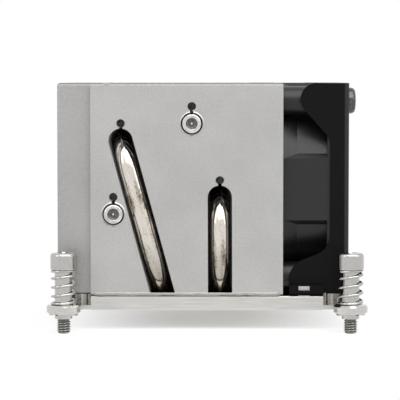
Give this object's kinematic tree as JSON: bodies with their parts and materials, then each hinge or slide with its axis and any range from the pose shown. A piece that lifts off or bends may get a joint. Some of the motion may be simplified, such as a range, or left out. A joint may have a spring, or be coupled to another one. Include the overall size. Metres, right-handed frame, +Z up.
{
  "type": "active server cpu heatsink",
  "caption": "Server CPU cooler: upright fin stack on a base plate with heat pipes, a side fan in a black bracket and spring-loaded corner screws.",
  "frame": {"origin": "middle of the square of mounting screws, at the level of their tips, on which the part stands", "axes": "+X from the fins to the fan, +Y along the heat pipes' straight runs, +Z up from the CPU"},
  "size_m": [0.0895, 0.0894, 0.0696],
  "materials": {
    "milled_aluminium": "milled, brushed along X",
    "fin_aluminium": "rolled sheet, satin",
    "nickel": "bright nickel plating on copper",
    "copper": "machined copper",
    "black_steel": "black coated sheet steel, satin",
    "black_plastic": "moulded, satin",
    "steel": "plain steel",
    "magnet": "bonded ferrite",
    "board": "circuit board",
    "bright_steel": "bright nickel-plated steel"
  },
  "bodies": {
    "cooler": {"base_plate": "milled_aluminium", "contact_plate": "nickel", "heat_pipe_1": "nickel", "heat_pipe_2": "nickel", "heat_pipe_3": "nickel", "heat_pipe_4": "nickel", "fin_01": "fin_aluminium", "fin_02": "fin_aluminium", "fin_03": "fin_aluminium", "fin_04": "fin_aluminium", "fin_05": "fin_aluminium", "fin_06": "fin_aluminium", "fin_07": "fin_aluminium", "fin_08": "fin_aluminium", "fin_09": "fin_aluminium", "fin_10": "fin_aluminium", "fin_11": "fin_aluminium", "fin_12": "fin_aluminium", "fin_13": "fin_aluminium", "fin_14": "fin_aluminium", "fin_15": "fin_aluminium", "fin_16": "fin_aluminium", "fin_17": "fin_aluminium", "fin_18": "fin_aluminium", "fin_19": "fin_aluminium", "fin_20": "fin_aluminium", "fin_21": "fin_aluminium", "fin_22": "fin_aluminium", "fin_23": "fin_aluminium", "fin_24": "fin_aluminium", "fin_25": "fin_aluminium", "fin_26": "fin_aluminium", "fin_27": "fin_aluminium", "fin_28": "fin_aluminium", "fin_29": "fin_aluminium", "fin_30": "fin_aluminium", "fin_31": "fin_aluminium", "fan_frame": "black_plastic", "stator_core": "steel", "stator_windings": "copper", "motor_board": "board", "motor_bearings": "steel", "fan_bracket": "black_steel", "fan_screws": "black_steel", "screw_spring_1": "bright_steel", "screw_spring_2": "bright_steel", "screw_spring_3": "bright_steel", "screw_spring_4": "bright_steel"},
    "rotor": {"impeller": "black_plastic", "rotor_yoke": "steel", "rotor_shaft": "steel", "magnet_ring": "magnet"},
    "ring_1": {"retaining_ring_1": "bright_steel"},
    "screw_1": {"mounting_screw_1": "bright_steel"},
    "ring_2": {"retaining_ring_2": "bright_steel"},
    "screw_2": {"mounting_screw_2": "bright_steel"},
    "ring_3": {"retaining_ring_3": "bright_steel"},
    "screw_3": {"mounting_screw_3": "bright_steel"},
    "ring_4": {"retaining_ring_4": "bright_steel"},
    "screw_4": {"mounting_screw_4": "bright_steel"}
  },
  "joints": [
    {"name": "fan_spin", "type": "hinge", "parent": "cooler", "child": "rotor", "pos_m": [0.0265, 0, 0.0396], "axis": [1, 0, 0], "continuous": true},
    {"name": "screw_1_travel", "type": "slide", "parent": "cooler", "child": "ring_1", "axis": [0, 0, 1], "range_m": [-0.005, 0], "stiffness_N_per_m": 4000, "springref_m": 0.0002, "deforming": ["screw_spring_1"]},
    {"name": "screw_1_turn", "type": "hinge", "parent": "ring_1", "child": "screw_1", "pos_m": [-0.04, -0.04, 0.0056], "axis": [0, 0, 1], "continuous": true},
    {"name": "screw_2_travel", "type": "slide", "parent": "cooler", "child": "ring_2", "axis": [0, 0, 1], "range_m": [-0.005, 0], "stiffness_N_per_m": 4000, "springref_m": 0.0002, "deforming": ["screw_spring_2"]},
    {"name": "screw_2_turn", "type": "hinge", "parent": "ring_2", "child": "screw_2", "pos_m": [-0.04, 0.04, 0.0056], "axis": [0, 0, 1], "continuous": true},
    {"name": "screw_3_travel", "type": "slide", "parent": "cooler", "child": "ring_3", "axis": [0, 0, 1], "range_m": [-0.005, 0], "stiffness_N_per_m": 4000, "springref_m": 0.0002, "deforming": ["screw_spring_3"]},
    {"name": "screw_3_turn", "type": "hinge", "parent": "ring_3", "child": "screw_3", "pos_m": [0.04, -0.04, 0.0056], "axis": [0, 0, 1], "continuous": true},
    {"name": "screw_4_travel", "type": "slide", "parent": "cooler", "child": "ring_4", "axis": [0, 0, 1], "range_m": [-0.005, 0], "stiffness_N_per_m": 4000, "springref_m": 0.0002, "deforming": ["screw_spring_4"]},
    {"name": "screw_4_turn", "type": "hinge", "parent": "ring_4", "child": "screw_4", "pos_m": [0.04, 0.04, 0.0056], "axis": [0, 0, 1], "continuous": true}
  ]
}
